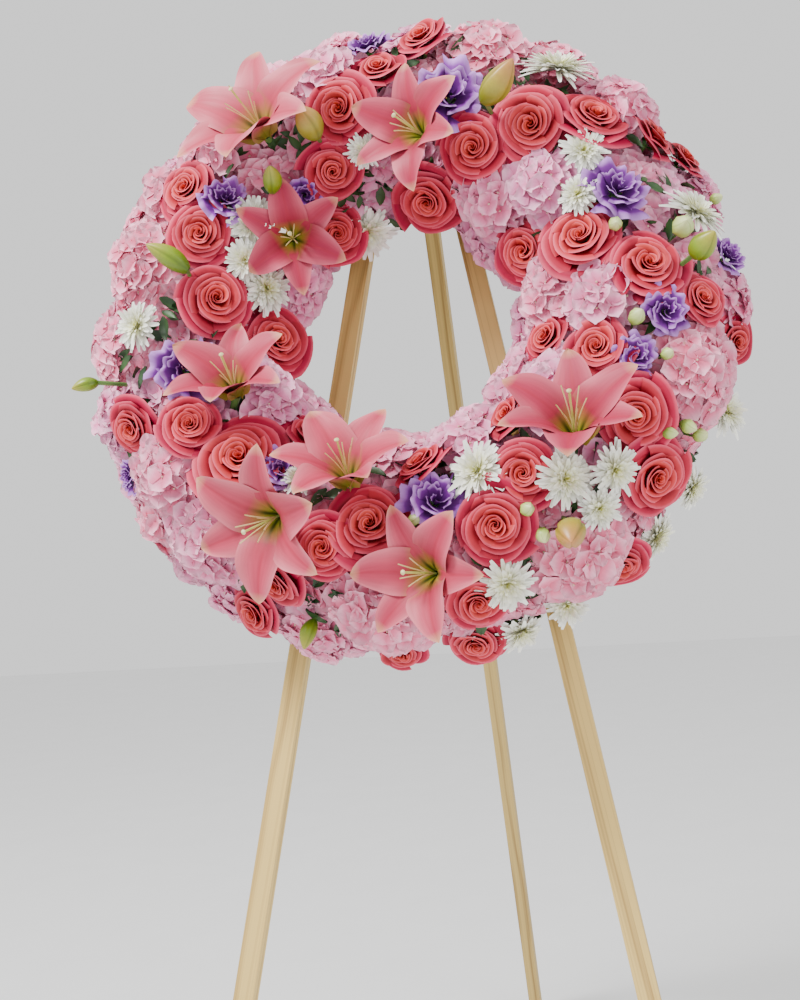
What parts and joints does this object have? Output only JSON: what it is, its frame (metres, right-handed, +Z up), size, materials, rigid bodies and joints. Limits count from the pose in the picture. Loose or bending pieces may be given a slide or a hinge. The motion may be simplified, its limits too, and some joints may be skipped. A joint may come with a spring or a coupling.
{
  "type": "funeral wreath on easel",
  "caption": "Round funeral wreath of roses, lilies, hydrangea, chrysanthemums and lisianthus on a foam ring, tied to a folding wooden tripod easel.",
  "frame": {"origin": "on the floor, under the middle of the whole object's extent", "axes": "+Z up; the wreath faces -Y and leans back towards +Y; +X is to a viewer's right"},
  "size_m": [0.722, 0.9348, 1.3705],
  "materials": {
    "pine": "bare planed pine, satin",
    "steel": "plain bright pin",
    "black_tie": "plastic-coated wire, satin",
    "tray_green": "dark green moulded plastic",
    "foam_green": "soaked floral foam, matt",
    "rose_coral": "fresh coral-pink petals, velvety",
    "lily_pink": "fresh salmon-pink petals, satin",
    "hydrangea_pink": "fresh pale pink florets, matt",
    "mum_white": "fresh white petals with a yellow-green middle",
    "lisianthus_purple": "fresh violet ruffled petals"
  },
  "bodies": {
    "easel": {"chrysanthemums_1": "mum_white", "chrysanthemums_2": "mum_white", "chrysanthemums_3": "mum_white", "chrysanthemums_4": "mum_white", "chrysanthemums_5": "mum_white", "chrysanthemums_6": "mum_white", "chrysanthemums_7": "mum_white", "chrysanthemums_8": "mum_white", "chrysanthemums_9": "mum_white", "cross_bar": "pine", "foam_ring": "foam_green", "front_leg_left": "pine", "front_leg_right": "pine", "head_block": "pine", "hinge_pin": "steel", "hydrangea_1": "hydrangea_pink", "hydrangea_2": "hydrangea_pink", "hydrangea_3": "hydrangea_pink", "hydrangea_4": "hydrangea_pink", "hydrangea_5": "hydrangea_pink", "hydrangea_6": "hydrangea_pink", "hydrangea_7": "hydrangea_pink", "hydrangea_8": "hydrangea_pink", "lilies_1": "lily_pink", "lilies_10": "lily_pink", "lilies_11": "lily_pink", "lilies_2": "lily_pink", "lilies_3": "lily_pink", "lilies_4": "lily_pink", "lilies_5": "lily_pink", "lilies_6": "lily_pink", "lilies_7": "lily_pink", "lilies_8": "lily_pink", "lilies_9": "lily_pink", "lisianthus_1": "lisianthus_purple", "lisianthus_2": "lisianthus_purple", "lisianthus_3": "lisianthus_purple", "lisianthus_4": "lisianthus_purple", "lisianthus_5": "lisianthus_purple", "lisianthus_6": "lisianthus_purple", "lisianthus_7": "lisianthus_purple", "lisianthus_8": "lisianthus_purple", "lisianthus_9": "lisianthus_purple", "ring_tray": "tray_green", "roses_1": "rose_coral", "roses_2": "rose_coral", "roses_3": "rose_coral", "roses_4": "rose_coral", "roses_5": "rose_coral", "tie_left": "black_tie", "tie_right": "black_tie", "tie_top": "black_tie"},
    "rear_leg": {"rear_leg": "pine"}
  },
  "joints": [
    {"name": "rear_leg_hinge", "type": "hinge", "parent": "easel", "child": "rear_leg", "pos_m": [-0.00023, -0.0484, 1.31577], "axis": [1, 0, 0], "range_deg": [-32, 0]}
  ]
}
